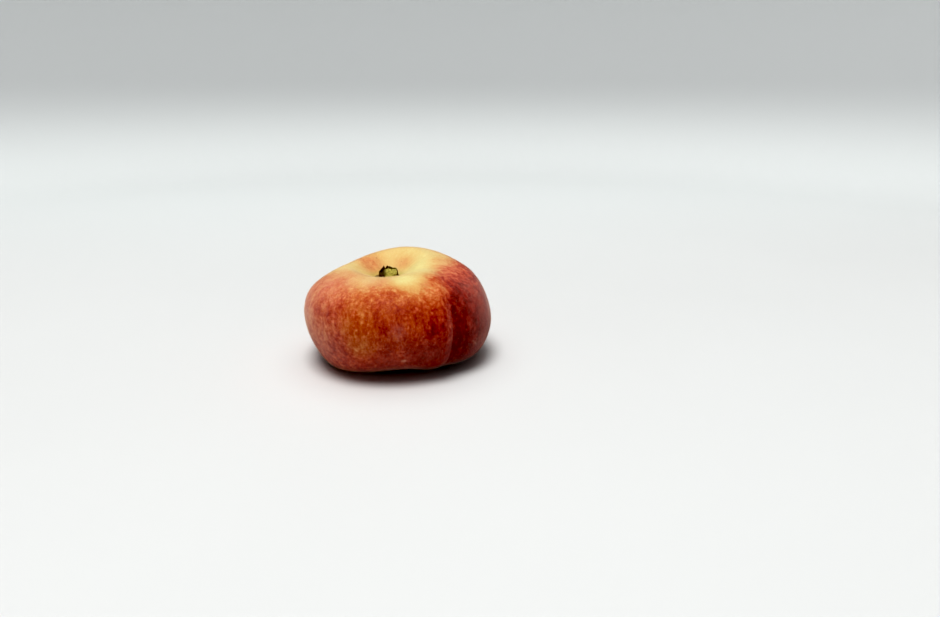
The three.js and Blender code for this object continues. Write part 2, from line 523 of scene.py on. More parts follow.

# %% [markdown]
# ## Where the sun reached it
# The ground colour of a peach is cream, and its blush comes where the sun reached. It is deepest on one
# cheek and fades to gold where a leaf lay. A painter would lay it on in patches, and so does this. Each
# patch has a place, a reach and two amounts. Ripeness runs from cream at 0 to crimson at 1, and rosiness
# says whether the way there goes through gold, at 0, or through pink, at 1. Every vertex blends the
# patches by how near they are. Painting by hand would do as well, but a table can be read and changed.
# The underside and the foot by the seam are also painted shade: they are made deeper, so that the bottom
# reads dark and sends less light into the shadow under the fruit.

# %% Patches of blush
PATCHES = {  # where it is in mm, its reach, its ripeness and its rosiness
    "cream hollow": ((-3.7, 0.9, 30.0), 7.0, 0.03, 0.0),
    "back rim": ((3.0, 14.3, 35.5), 8.0, 0.03, 0.0),
    "back right rim": ((13.5, 6.5, 35.6), 5.0, 0.06, 0.2),
    "edge of the cheek": ((15.5, 1.0, 34.3), 2.6, 0.26, 0.6),
    "tan on the rim": ((15.5, 6.0, 35.2), 2.2, 0.30, 0.4),
    "pink wall": ((-9.8, 7.8, 32.0), 3.2, 0.45, 1.0),
    "pink behind the stalk": ((2.4, 8.4, 32.2), 2.4, 0.42, 1.0),
    "back left rim": ((-15.5, 5.5, 33.3), 3.0, 0.08, 0.3),
    "cream on the left rim": ((-18.5, -2.5, 33.2), 3.4, 0.08, 0.4),
    "yellow saddle": ((1.5, -20.5, 32.8), 4.2, 0.00, 0.0),
    "foot of the saddle": ((4.6, -24.8, 31.0), 1.8, 0.14, 0.0),
    "valley to the seam": ((8.0, -3.0, 32.8), 5.5, 0.00, 0.0),
    "pink front rim": ((-5.8, -18.5, 33.0), 2.4, 0.24, 0.8),
    "front of the rim": ((-6.0, -23.5, 32.0), 3.0, 0.31, 0.4),
    "front left rim": ((-11.0, -17.5, 33.2), 3.6, 0.06, 0.2),
    "left rim": ((-17.7, -11.5, 33.5), 5.0, 0.19, 0.5),
    "front left shoulder": ((-17.5, -20.5, 31.8), 3.5, 0.42, 0.4),
    "left shoulder": ((-22.5, -15.8, 31.3), 5.0, 0.41, 0.7),
    "left limb": ((-30.0, -13.5, 23.0), 7.0, 0.40, 0.8),
    "red on the left": ((-24.5, -23.0, 25.0), 3.0, 0.72, 0.5),
    "pale below the red": ((-25.5, -21.5, 18.5), 3.0, 0.44, 0.4),
    "left foot": ((-24.0, -20.0, 8.0), 8.0, 0.66, 1.0),
    "front shoulder": ((-9.0, -27.0, 30.2), 5.0, 0.47, 0.1),
    "mid front shoulder": ((0.5, -28.8, 29.4), 4.0, 0.70, 0.0),
    "front": ((-7.0, -32.5, 22.0), 5.5, 0.74, 0.0),
    "front middle": ((-0.5, -32.6, 23.0), 3.5, 0.70, 0.2),
    "gold stripe": ((-14.4, -30.6, 20.0), 2.8, 0.40, 0.0),
    "foot of the gold stripe": ((-12.2, -31.4, 15.2), 3.4, 0.38, 0.0),
    "left of the gold": ((-19.4, -27.4, 17.5), 3.3, 0.74, 0.6),
    "front right shoulder": ((9.5, -26.5, 29.6), 4.0, 0.47, 0.2),
    "gold by the seam": ((12.4, -21.5, 31.5), 3.0, 0.38, 0.5),
    "front right": ((7.0, -31.0, 24.5), 4.5, 0.66, 0.2),
    "front of the seam": ((12.5, -30.0, 20.0), 4.5, 0.80, 0.6),
    "front foot": ((0.0, -30.0, 9.0), 8.0, 0.77, 0.6),
    # painted shade: the foot by the seam is made its deepest crimson, partly so that the bottom there reads
    # dark
    "foot by the seam": ((11.5, -28.8, 8.0), 5.0, 1.00, 1.0),
    "red cheek": ((20.0, -5.0, 32.6), 4.5, 0.51, 1.0),
    "right shoulder": ((23.5, -13.5, 29.3), 4.5, 0.78, 1.0),
    "right of the seam": ((19.5, -24.5, 20.0), 5.5, 0.80, 1.0),
    "right cheek": ((30.0, -10.0, 20.0), 8.0, 0.92, 1.0),
    "right foot": ((22.5, -21.5, 8.0), 8.0, 0.96, 1.0),
    "right back": ((29.0, 12.0, 20.0), 10.0, 0.80, 1.0),
    "back shoulder": ((5.0, 28.0, 28.0), 9.0, 0.35, 0.5),
    "back": ((0.0, 32.0, 16.0), 11.0, 0.62, 0.5),
    "back left": ((-26.0, 18.0, 18.0), 10.0, 0.50, 0.6),
    # painted shade: the underside is made dark, so that it sends less light into the shadow under the fruit
    "underside": ((0.0, 0.0, 0.0), 15.0, 0.97, 0.8),
}


def blended(spots, patches):
    """The patches' ripeness and rosiness at each spot."""
    total = np.full(len(spots), 1e-9)
    amounts = np.zeros((2, len(spots)))
    for place, reach, *much in patches.values():
        near = np.exp(-np.sum((spots - np.array(place)) ** 2, axis=1) / (2 * reach**2))
        total += near
        amounts += near * np.array(much)[:, None]
    return amounts / total


blush, rosy = blended(spots, PATCHES)
print("patched from", round(blush.min(), 2), "to", round(blush.max(), 2))

# %% Blush at the seam and round the hollow
FINGERS, FINGERS_ROUND, FINGER_LENGTH = 0.10, 6, 18  # it creeps up towards the stalk in soft fingers
PAST_SEAM, AT_SEAM = 0.20, 0.05  # it is redder right of the seam, and paler on the lip

fingers = stripes(around, down, FINGERS_ROUND, FINGER_LENGTH)
blush += FINGERS * fingers * bell(down - 8, 9) * step(blush, 0.04, 0.25)
blush += step(down, 8, 16) * bell(beside, 7) * (PAST_SEAM * step(beside, -0.6, 0.8) - AT_SEAM)
blush = np.clip(blush, 0, 1)
print("blush from", round(blush.min(), 2), "to", round(blush.max(), 2))

# %% Bloom and painted sheen
BLOOM_AND_SHEEN = {  # grey pink bloom where the down is thickest, painted sheen at the limbs: place in mm, reach, how much
    "left shoulder": ((-23.0, -15.5, 31.0), 8.0, 0.38),
    "left limb": ((-31.0, -10.0, 20.0), 8.0, 0.52),
    "left side": ((-26.0, -22.0, 14.0), 7.0, 0.38),
    "front left rim": ((-9.5, -18.5, 33.0), 5.0, 0.22),
    "front upper": ((-3.0, -28.5, 29.0), 7.0, 0.10),
    "foot by the seam": ((9.0, -30.0, 11.0), 4.0, 0.14),
    "right shoulder": ((25.0, -12.0, 29.0), 6.0, 0.26),
    "right cheek": ((28.5, -15.0, 21.0), 5.0, 0.15),
    "middle of the front": ((-0.5, -33.3, 20.2), 2.2, 0.26),
    "right limb": ((33.0, -4.0, 19.0), 8.0, 0.27),
    "right hip": ((28.5, -16.0, 11.5), 3.5, 0.22),
    "back": ((0.0, 33.0, 22.0), 14.0, 0.25),
    "front low": ((-3.0, -31.0, 10.0), 8.0, 0.13),
    "red cheek": ((19.0, -6.0, 32.6), 5.0, 0.22),
}
BLOOM_AND_SHEEN_FADES = 1.4  # times its reach, because neither a bloom nor a painted sheen has an edge

# bloom where the down is thickest, and painted sheen: the pale edge that down shows at the limbs
bloom = np.zeros(len(spots))
for place, reach, much in BLOOM_AND_SHEEN.values():
    bloom = np.maximum(bloom, much * bell(from_spot(spots, place), BLOOM_AND_SHEEN_FADES * reach))
print("bloom up to", round(bloom.max(), 2))

# %% What the materials read
FAR_OFF = 30  # mm, for a vertex on the side of the fruit that has no hollow, seam or blossom end

spread = 12 + 0.6 * far  # streaks close up towards the stalk, but not all the way
KEPT = {
    "grain": np.stack([spread * np.cos(around), spread * np.sin(around), down], axis=1),
    "blush": blush,
    "rosy": rosy,
    "bloom": bloom,
    "cork": cork,
    "beside": np.where(far > 7, beside, FAR_OFF),
    "deep": np.where(spots[:, 2] > UPPER_SIDE, deep, FAR_OFF),
    "blossom": np.where(spots[:, 2] < LOWER_SIDE, from_axis(spots, BLOSSOM), FAR_OFF),
}
for name, values in KEPT.items():
    keep(skin, name, values)
print("kept", ", ".join(KEPT))

# %% [markdown]
# ## Mottle, a group that every material here uses
# Skin, bark and torn fibre are all mottled, each at its own size and some in long streaks. One node group
# does it: it stretches the coordinates one way, takes noise there, and sharpens it as much as it is asked
# to.

# %% Mottle
NUMBER, VECTOR = "NodeSocketFloat", "NodeSocketVector"


def new_group(name, takes, gives):
    """An empty node group that takes and gives sockets of those kinds."""
    tree = bpy.data.node_groups.new(name, "ShaderNodeTree")
    for way, sockets in (("INPUT", takes), ("OUTPUT", gives)):
        for label, kind in sockets.items():
            tree.interface.new_socket(name=label, in_out=way, socket_type=kind)
    return tree, tree.nodes.new("NodeGroupInput").outputs, tree.nodes.new("NodeGroupOutput").inputs


mottle, takes, gives = new_group(
    "mottle",
    {"Place": VECTOR, "Size": NUMBER, "Stretch": NUMBER, "Low": NUMBER, "High": NUMBER},
    {"Mask": NUMBER, "Soft": NUMBER},
)
per_mm = maths(mottle, "DIVIDE", 1.0, takes["Size"])
shorter = maths(mottle, "DIVIDE", 1.0, takes["Stretch"])
squeeze = node(mottle, "ShaderNodeCombineXYZ", X=1.0, Y=1.0, Z=shorter).outputs[0]
place = vector_maths(mottle, "MULTIPLY", takes["Place"], squeeze)
found = node(mottle, "ShaderNodeTexNoise", Vector=place, Scale=per_mm, Detail=2.0, Roughness=0.55)
found = found.outputs["Fac"]
mottle.links.new(found, gives["Soft"])
mottle.links.new(span(mottle, found, takes["Low"], takes["High"]), gives["Mask"])
print("mottle has", len(mottle.nodes), "nodes")


def mottled(tree, place, size, stretch=1.0, low=0.35, high=0.65, output="Mask"):
    """The group in a tree. Mask is sharpened between low and high, and Soft is the noise itself."""
    inputs = {"Place": place, "Size": size, "Stretch": stretch, "Low": low, "High": high}
    return node(tree, "ShaderNodeGroup", {"node_tree": mottle}, **inputs).outputs[output]


# %% [markdown]
# ## The skin's pattern
# Close to, the blush is streaks, flecks, curds, blotches and dashes, each of another size. Here each is a
# mask that pushes the ripeness up or down before it meets the colours, which breaks up the edges of the
# blush. Mixing colours on top would leave the edges smooth under a print. Some of them read a place that
# is swirled a little by another noise, because growth isn't straight. It is a group too, because the down
# takes its colour from the skin below. The numbers are Mottle's Size in mm, Stretch, Low and High.

# %% The marks in the skin
SWIRL = 1.6  # mm
BLOTCH_SIZE = 1.9

pattern, takes, gives = new_group(
    "skin pattern",
    {"Place": VECTOR, "Blush": NUMBER, "Rosy": NUMBER, "Deep": NUMBER},
    {"Ripeness": NUMBER, "Dots": NUMBER, "Streaks": NUMBER, "Swirl": VECTOR},
)
place = takes["Place"]
swirl = node(pattern, "ShaderNodeTexNoise", Vector=place, Scale=0.9, Detail=1.0).outputs["Color"]
swirl = vector_maths(pattern, "MULTIPLY_ADD", swirl, (SWIRL, SWIRL, SWIRL), place)
streaks = mottled(pattern, place, 1.7, 3.0, 0.2, 0.8)
flecks = mottled(pattern, place, 0.7, 1.4, 0.25, 0.75)
clouds = mottled(pattern, place, 4.5, 1.5, 0.25, 0.75)
strokes = mottled(pattern, swirl, 0.8, 5.0, 0.5, 0.72)
dashes = mottled(pattern, swirl, 0.5, 3.0, 0.46, 0.72)
curds = mottled(pattern, swirl, 1.9, 1.2, 0.36, 0.64)
in_groups = mottled(pattern, place, 3.0, 1.3, 0.32, 0.56)


def cells(tree, place, size, uneven=1.0):
    """How far each place is from the middle of its cell, where cells of that size fill the surface."""
    inputs = {"Vector": place, "Scale": 1 / size, "Randomness": uneven}
    return node(tree, "ShaderNodeTexVoronoi", {"feature": "F1"}, **inputs).outputs["Distance"]


blotches = times(pattern, span(pattern, cells(pattern, swirl, BLOTCH_SIZE, 0.9), 0.55, 0.05), in_groups)
print("the marks take", len(pattern.nodes), "nodes")

# %% How much they push
def both_ways(mask):
    """The mask less a half, to push up in one place and down in another."""
    return maths(pattern, "SUBTRACT", mask, 0.5)


takes_blush, takes_deep = takes["Blush"], takes["Deep"]
outside = span(pattern, takes_deep, 10, 21, 0.3, 1.0)  # calmer in the hollow than outside it
lively = times(
    pattern,
    span(pattern, takes_blush, 0.08, 0.62, 0.15, 1.0),  # plain where the skin is cream,
    span(pattern, takes_blush, 0.70, 0.92, 1.0, 0.45),  # and calmer again where it is crimson
    span(pattern, takes_deep, 7, 15, 0.6, 1.0),
)
PUSHES = [
    (both_ways(streaks), times(pattern, outside, 0.20)),
    (both_ways(flecks), 0.16),
    (both_ways(clouds), 0.13),
    (both_ways(curds), times(pattern, takes["Rosy"], 0.22)),
    (blotches, -0.15),
    (dashes, -0.08),
    (strokes, times(pattern, outside, 0.07)),
]
push = 0.0
for mask, much in PUSHES:
    push = times_plus(pattern, mask, much, push)
dots = times_plus(pattern, blotches, 0.32, times(pattern, dashes, 0.19))
pattern.links.new(times_plus(pattern, push, lively, takes_blush, clamp=True), gives["Ripeness"])
pattern.links.new(times(pattern, dots, lively), gives["Dots"])
pattern.links.new(streaks, gives["Streaks"])
pattern.links.new(swirl, gives["Swirl"])
print("the pattern has", len(pattern.nodes), "nodes")


# %% Reading the pattern
def read(tree, name, output="Fac"):
    """What keep() stored for each vertex, as a number or, as Vector, as three."""
    return node(tree, "ShaderNodeAttribute", {"attribute_name": name}).outputs[output]


def read_pattern(tree):
    """The pattern's outputs, with the inputs that it was given."""
    given = {"Place": read(tree, "grain", "Vector")}
    given.update({label: read(tree, label.lower()) for label in ("Blush", "Rosy", "Deep")})
    return given, node(tree, "ShaderNodeGroup", {"node_tree": pattern}, **given).outputs


# %% [markdown]
# ## Skin
# There are two scales of ripeness, one from cream through gold to crimson and one through pink, and
# rosiness blends them. Over that go layers, each a mask and a colour: pale dots, bloom that is also painted
# sheen at the limbs, the small pits of the hollow, the green and the rind next to the stalk, the rind darker
# as painted shade in its crease, the pale edge of the seam with a painted highlight on its lip, cork, and
# the scar at the blossom end. The colour is deeper than a peach looks, because the down over it lightens
# it. The skin itself is dull, with a little sheen for the down that is too fine to model.

# %% Colours of ripeness
SHADES = [  # how ripe, and the shade there on the way through gold and through pink
    (0.0, (222, 224, 166), (222, 217, 165)),
    (0.20, (212, 181, 117), (214, 173, 128)),
    (0.40, (190, 119, 58), (201, 116, 82)),
    (0.58, (170, 77, 21), (178, 67, 43)),
    (0.75, (148, 42, 10), (150, 31, 22)),
    (0.90, (128, 22, 9), (120, 11, 12)),
    (1.0, (92, 4, 5), (90, 4, 7)),
]

peach_skin, tree, shader = material("peach skin")
given, made = read_pattern(tree)
place, blush_in, rosy_in, deep_in = given.values()
ripe, streaks, swirl = made["Ripeness"], made["Streaks"], made["Swirl"]
stops, *ways = zip(*SHADES)
through_gold, through_pink = [ramp(tree, ripe, stops, shades) for shades in ways]
skin_colour = blend(tree, rosy_in, through_gold, through_pink)
print("two scales of", len(stops), "colours")

# %% Dots, bloom and pits
dots = times(tree, made["Dots"], times_plus(tree, rosy_in, 1.1, 0.8))  # they show most on the rosy cheek
dot_colour = blend(tree, span(tree, ripe, 0.5, 0.95), colour(212, 114, 88), colour(172, 56, 42))
specks = maths(tree, "ADD", mottled(tree, swirl, 1.1, 1.3, 0.3, 0.7), 0.5)
# bloom, and at the left and right limbs painted sheen
bloom_and_sheen_mask = times(tree, read(tree, "bloom"), specks)
pits = times(
    tree,
    span(tree, cells(tree, swirl, 1.7), 0.26, 0.12),
    span(tree, blush_in, 0.14, 0.3),
    span(tree, deep_in, 18, 13, 0.0, 0.6),  # in the hollow only
)

print(len(tree.nodes), "nodes so far")

# %% Stalk side, seam, cork and blossom end
EDGE_AT, EDGE_HALF = 0.55, (0.34, 0.08)  # mm left of the seam's line, and where it fades out and in

greenish = span(tree, deep_in, 7.5, 4.2, 0.0, 0.5)
# dried rind at the stalk's scar, darker also as painted shade in the crease where the stalk meets the skin
rind_and_shade = span(tree, deep_in, 4.7, 4.1, 0.0, 0.85)
from_edge = maths(tree, "ABSOLUTE", maths(tree, "ADD", read(tree, "beside"), EDGE_AT))
way_down = node(tree, "ShaderNodeSeparateXYZ", n0=place).outputs["Z"]
# the suture's own pale line, and a painted highlight where light catches the crest of the lip
edge = times(
    tree,
    span(tree, from_edge, *EDGE_HALF),
    mottled(tree, place, 2.2, 2.0, 0.36, 0.56),
    span(tree, way_down, 19, 23, 0.0, 0.20),  # down the side only
)
dry = times(tree, span(tree, read(tree, "cork"), 0.2, 0.75), mottled(tree, place, 0.5, 1.0, 0.35, 0.55))
blossom_scar = span(tree, read(tree, "blossom"), 2.1, 1.0, 0.0, 0.85)
print(len(tree.nodes), "nodes so far")

# %% Skin material
LAYERS = [
    (dots, dot_colour),
    # grey pink bloom, with painted sheen at the limbs
    (bloom_and_sheen_mask, colour(206, 142, 124)),
    (pits, colour(150, 66, 36)),
    (greenish, colour(176, 160, 84)),
    # rind, and painted shade in the crease by the stalk
    (rind_and_shade, colour(104, 78, 42)),
    # pale seam line, partly a painted highlight on the lip
    (edge, colour(200, 112, 92)),
    (dry, colour(206, 158, 132)),
    (blossom_scar, colour(96, 66, 38)),
]
for mask, shade in LAYERS:
    skin_colour = blend(tree, mask, skin_colour, shade)
rough = times_plus(tree, dry, 0.2, times_plus(tree, streaks, 0.12, 0.52))
pimples = mottled(tree, place, 0.28, 1.0, 0.0, 1.0, "Soft")
feed(tree, shader, Base_Color=skin_colour, Roughness=rough, Normal=bumped(tree, 0.25, 0.12 * MM, pimples))
feed(tree, shader, Specular_IOR_Level=0.12, Sheen_Weight=0.25, Sheen_Roughness=0.45)
feed(tree, shader, Sheen_Tint=(1.0, 0.9, 0.85, 1))
skin.data.materials.clear()
skin.data.materials.append(peach_skin)
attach(skin, "root")
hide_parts("fruit")
print("peach skin has", len(tree.nodes), "nodes and", len(LAYERS), "layers")

# %% [markdown]
# ## The torn stalk
# When a flat peach is picked, the stalk tears off and leaves its bark standing in a ragged ring round a
# greenish core of broken fibres. The bark is a circle extruded upwards a little at a time. A short table
# says how high it was torn on each side, noise adds teeth, lobes and a curl, and Solidify makes it thick.
# Cutting the teeth with a boolean would leave a flat sheet with a sawn edge.

# %% The torn edge
STUMP = Vector(STALK) + Vector((0.4, 0, 0))  # the torn end leans to the right
TORN_EDGE = [  # the angle from +X in degrees, and the height in mm: high at the back and worn down in front
    (-180, 1.7), (-150, 1.4), (-120, 1.1), (-90, 0.8), (-45, 0.7), (-10, 1.2), (10, 2.3), (30, 2.9),
    (46, 3.2), (52, 2.4), (58, 3.0), (80, 3.3), (100, 3.6), (110, 2.6), (121, 3.5), (133, 2.9), (150, 2.4),
    (180, 1.7),
]
TOOTH, LOWEST = 0.7, 0.5  # mm


def round_noise(angle, busy, third):
    """Noise that meets itself after a full turn, with more waves if busy is larger."""
    return noise.noise(Vector((busy * math.cos(angle), busy * math.sin(angle), third)))


def bark_height(angle):
    """The torn edge's height in mm, with small teeth."""
    torn = np.interp(math.degrees(angle), *np.array(TORN_EDGE).T)
    return max(torn + TOOTH * round_noise(angle, 9, 1.0), LOWEST)


def finish_stump(name, bm):
    """Moves a part of the stump from the middle of the table to its place in the hollow."""
    bmesh.ops.translate(bm, verts=bm.verts, vec=STUMP * MM)
    return new_piece(name, bm)


print("the edge stands", round(bark_height(math.pi / 2), 2), "mm high at the back")

# %% Bark
BARK_RADIUS, BARK_WALL, BARK_SUNK = 3.2, 0.26, 0.15  # mm
BARK_ROWS, BARK_SIDES = 9, 96

bm = bmesh.new()
ring = bmesh.ops.create_circle(bm, segments=BARK_SIDES, radius=BARK_RADIUS * MM)["verts"]
edges = list({e for v in ring for e in v.link_edges})
for row in range(1, BARK_ROWS + 1):
    risen = bmesh.ops.extrude_edge_only(bm, edges=edges)["geom"]
    edges = only(bmesh.types.BMEdge, risen)
    for v in only(bmesh.types.BMVert, risen):
        v.co.z = row / BARK_ROWS * MM
for v in bm.verts:
    angle = math.atan2(v.co.y, v.co.x)
    share = v.co.z / MM
    curl = 0.25 * share**2 * round_noise(angle, 2.5, 9)
    grainy = 0.10 * round_noise(angle, 14, 3 * share)
    lobes = 1 + 0.06 * math.cos(2 * angle) + 0.035 * math.sin(5 * angle + 1)
    out = BARK_RADIUS * lobes + 0.15 * (1 - share) ** 2 - 0.15 * share + curl + grainy
    high = share * bark_height(angle) - BARK_SUNK
    v.co = Vector((out * math.cos(angle), out * math.sin(angle), high)) * MM
bmesh.ops.recalc_face_normals(bm, faces=bm.faces)
bark = finish_stump("stalk_bark", bm)
wall = bark.modifiers.new("thickness", "SOLIDIFY")
wall.thickness = BARK_WALL * MM
wall.offset = 0
rounding = bark.modifiers.new("rounding", "SUBSURF")
rounding.levels = rounding.render_levels = 1
apply_modifiers(bark)
smooth_faces(bark)
print("bark", len(bark.data.polygons), "faces")

# %% [markdown]
# ## Torn core
# The core is a low mound whose top is all broken fibre ends. A line from its middle to its rim is spun
# into a disc in fine steps, its rim turned down into the bark and closed underneath. Its vertices are
# then lifted by a broad noise for the mound and two fine ones for the ends, one of them sharp because its
# sign is dropped.

# %% Torn core
CORE_RADIUS, CORE_HEIGHT, CORE_FLOOR = 3.1, 1.7, -0.1  # mm
CORE_ROWS, CORE_SIDES = 30, 110

bm = bmesh.new()
line = [bm.verts.new((0, 0, 0))]
for row in range(1, CORE_ROWS + 1):
    line.append(bm.verts.new((row / CORE_ROWS * CORE_RADIUS * MM, 0, 0)))
    bm.edges.new(line[-2:])
skirt = bm.verts.new((CORE_RADIUS * MM, 0, -0.6 * MM))
bm.edges.new((line[-1], skirt))
spin_round(bm, CORE_SIDES)
loop = [e for e in bm.edges if e.is_boundary]
bmesh.ops.contextual_create(bm, geom=loop)
bmesh.ops.recalc_face_normals(bm, faces=bm.faces)
for v in bm.verts:
    x, y, z = v.co / MM
    if z < CORE_FLOOR:
        v.co.z = CORE_FLOOR * MM
        continue
    broad = noise.noise(Vector((x / 1.9, y / 1.9, 2)))
    ends = abs(noise.noise(Vector((x / 0.42, y / 0.42, 5))))
    hair = noise.noise(Vector((x / 0.2, y / 0.2, 8)))
    sunk = 0.8 * math.exp(-((x + 1.6) ** 2 + (y + 1.5) ** 2) / 2.2)  # it dried and shrank at the front left
    tilt = 0.4 * x / CORE_RADIUS + 0.3 * y / CORE_RADIUS
    rim = 0.5 * (math.hypot(x, y) / CORE_RADIUS) ** 4
    v.co.z = (CORE_HEIGHT + tilt + 0.8 * broad + 0.8 * ends + 0.25 * hair - sunk - rim) * MM
core = finish_stump("stalk_core", bm)
smooth_faces(core)
print("core", len(core.data.polygons), "faces")

# %% [markdown]
# ## Broken fibres
# A few strands stand clear of the core. Each is a small disc extruded into a thin cone in four steps,
# shrunk and bent over a little at each. A particle system would be quicker, but its strands would not be
# real mesh.

# %% Broken fibres
FIBRES, FIBRE_SIDES, FIBRE_STEPS = 90, 5, 4
TAPER = 0.8  # how much of its width a fibre keeps at each step

dice = np.random.default_rng(7)
bm = bmesh.new()
for _ in range(FIBRES):
    angle, out = dice.uniform(0, 2 * math.pi), 3.0 * math.sqrt(dice.uniform(0.03, 1))
    tall, thick = dice.uniform(0.7, 1.9), dice.uniform(0.05, 0.13)
    lean, bend = Vector((*dice.normal(0, 0.16, 2), 0)), Vector((*dice.normal(0, 0.3, 2), 0))
    root = Vector((out * math.cos(angle), out * math.sin(angle), 0.9 + 0.2 * math.sin(angle)))
    circle = bmesh.ops.create_circle(bm, cap_ends=True, segments=FIBRE_SIDES, radius=thick * MM)["verts"]
    edges = list({e for v in circle for e in v.link_edges})
    bmesh.ops.translate(bm, verts=circle, vec=root * MM)
    for step_up in range(1, FIBRE_STEPS + 1):
        before, now = (step_up - 1) / FIBRE_STEPS, step_up / FIBRE_STEPS
        edges = only(bmesh.types.BMEdge, bmesh.ops.extrude_edge_only(bm, edges=edges)["geom"])
        top = list({v for e in edges for v in e.verts})
        rise = (Vector((0, 0, 1)) + lean) / FIBRE_STEPS + (now**2 - before**2) * bend
        bmesh.ops.translate(bm, verts=top, vec=rise * tall * MM)
        middle = sum((v.co for v in top), Vector()) / len(top)
        bmesh.ops.scale(bm, verts=top, vec=(TAPER, TAPER, 1), space=Matrix.Translation(-middle))
    bmesh.ops.contextual_create(bm, geom=edges)
bmesh.ops.recalc_face_normals(bm, faces=bm.faces)
fibres = finish_stump("stalk_fibres", bm)
smooth_faces(fibres)
print("fibres", len(fibres.data.polygons), "faces")

# %% [markdown]
# ## Bark and torn wood
# Dried bark is dark brown with grey and rust in it, in streaks that run up the stalk. The torn core is a
# dull yellow green that browns at the tips of its fibres and in patches, where the air has dried them. Its
# left side is painted dark brown as painted shade, where it sinks. Both are mottled twice, with fine
# streaks for the fibre and broad patches over them.

# %% Dry bark
def place_in_mm(tree):
    where = node(tree, "ShaderNodeTexCoord").outputs["Object"]
    return node(tree, "ShaderNodeVectorMath", {"operation": "SCALE"}, n0=where, Scale=1 / MM).outputs[0]


dry_bark, tree, shader = material("dry bark")
place = place_in_mm(tree)
ridges = mottled(tree, place, 0.22, 5.0, 0.3, 0.7)
patches = mottled(tree, place, 0.9, 1.0, 0.4, 0.65)
shade = blend(tree, ridges, colour(46, 24, 15), colour(92, 58, 36))
shade = blend(tree, times(tree, patches, 0.4), shade, colour(128, 104, 62))
rough = times_plus(tree, ridges, 0.15, 0.75)
feed(tree, shader, Base_Color=shade, Roughness=rough, Specular_IOR_Level=0.25)
feed(tree, shader, Normal=bumped(tree, 0.6, 0.1 * MM, ridges))
bark.data.materials.append(dry_bark)
print("dry bark has", len(tree.nodes), "nodes")

# %% Torn wood
torn_wood, tree, shader = material("torn wood")
place = place_in_mm(tree)
strands = mottled(tree, place, 0.18, 4.0, 0.3, 0.7)
patches = mottled(tree, place, 0.8, 1.0, 0.35, 0.65)
apart = node(tree, "ShaderNodeSeparateXYZ", n0=place).outputs
tips = span(tree, apart["Z"], STALK[2] + 2.6, STALK[2] + 3.8, 0.0, 0.8)
# painted shade: the core's left side, where it sinks, is painted dark brown
shaded_left_side = span(tree, apart["X"], STALK[0] + 0.4, STALK[0] - 1.4, 0.0, 0.93)
dried_and_shaded = maths(tree, "MAXIMUM", shaded_left_side, times(tree, patches, 0.5))
shade = blend(tree, strands, colour(164, 154, 62), colour(232, 220, 128))
# dried patches, and painted shade on the left
shade = blend(tree, dried_and_shaded, shade, colour(72, 42, 22))
shade = blend(tree, tips, shade, colour(70, 46, 26))
rough = times_plus(tree, strands, 0.15, 0.7)
feed(tree, shader, Base_Color=shade, Roughness=rough, Normal=bumped(tree, 0.5, 0.08 * MM, strands))
core.data.materials.append(torn_wood)
fibres.data.materials.append(torn_wood)
for piece in (bark, core, fibres):
    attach(piece, "root")
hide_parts("stem_stub")
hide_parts("stem_stub")
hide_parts("stem_stub")
print("torn wood has", len(tree.nodes), "nodes")

# %% [markdown]
# ## Down
# A peach's down is some fifteen short hairs on every square millimetre, matted here and there into tufts.
# It is why the skin has no shine and why its edge looks pale against the light. A particle system would
# draw it, but particles belong to the renderer and would be lost from the mesh. So Geometry Nodes
# scatters points over the skin and puts a thin closed spike on each, and that is made real mesh, in
# quarters to keep each small.

# %% One hair
HAIR_LENGTH, HAIR_WIDTH, HAIRS_PER_MM2 = 0.42, 0.019, 15.0
STANDS_OUT = 0.44  # of its length is how far its middle is above the skin, so its root is in it

bm = bmesh.new()
foot, long = HAIR_WIDTH / 2 * MM, HAIR_LENGTH * MM
bmesh.ops.create_cone(bm, cap_ends=True, cap_tris=False, segments=3, radius1=foot, radius2=0, depth=long)
bmesh.ops.remove_doubles(bm, verts=bm.verts, dist=SAME_SPOT)
bmesh.ops.translate(bm, verts=bm.verts, vec=(0, 0, HAIR_LENGTH * STANDS_OUT * MM))
bmesh.ops.recalc_face_normals(bm, faces=bm.faces)
flat = bm.loops.layers.uv.new("OFBake")  # U goes round the hair, and V up it from root to tip
for face in bm.faces:
    for corner in face.loops:
        turn = math.atan2(corner.vert.co.y, corner.vert.co.x) / (2 * math.pi) + 0.5
        corner[flat].uv = (0.2 + 0.6 * turn, 0.02 + 0.96 * (corner.vert.co.z > 0.1 * MM))
print("one hair has", len(bm.faces), "faces and", len(bm.verts), "vertices")
hair = new_piece("one_hair", bm)

# %% Scattering the down
LEAN, SHORTEST, LONGEST = 0.75, 0.55, 1.15  # how far a hair leans, and times its length
FIRST_SEED = 11

scatter = bpy.data.node_groups.new("scatter down", "GeometryNodeTree")
scatter.interface.new_socket(name="Skin", in_out="INPUT", socket_type="NodeSocketGeometry")
scatter.interface.new_socket(name="Down", in_out="OUTPUT", socket_type="NodeSocketGeometry")
come, go = scatter.nodes.new("NodeGroupInput"), scatter.nodes.new("NodeGroupOutput")
attribute = node(scatter, "GeometryNodeInputNamedAttribute", {"data_type": "FLOAT"}, Name="quarter")
density = times(scatter, attribute.outputs["Attribute"], HAIRS_PER_MM2 / MM**2)
points = node(
    scatter, "GeometryNodeDistributePointsOnFaces", Mesh=come.outputs[0], Density=density, Seed=FIRST_SEED
)
ways = {"n0": (-1, -1, -1), "n1": (1, 1, 1), "Seed": 3}
lean = node(scatter, "FunctionNodeRandomValue", {"data_type": "FLOAT_VECTOR"}, **ways).outputs[0]
lean = node(scatter, "ShaderNodeVectorMath", {"operation": "SCALE"}, n0=lean, Scale=LEAN).outputs[0]
lean = vector_maths(scatter, "ADD", lean, points.outputs["Normal"])
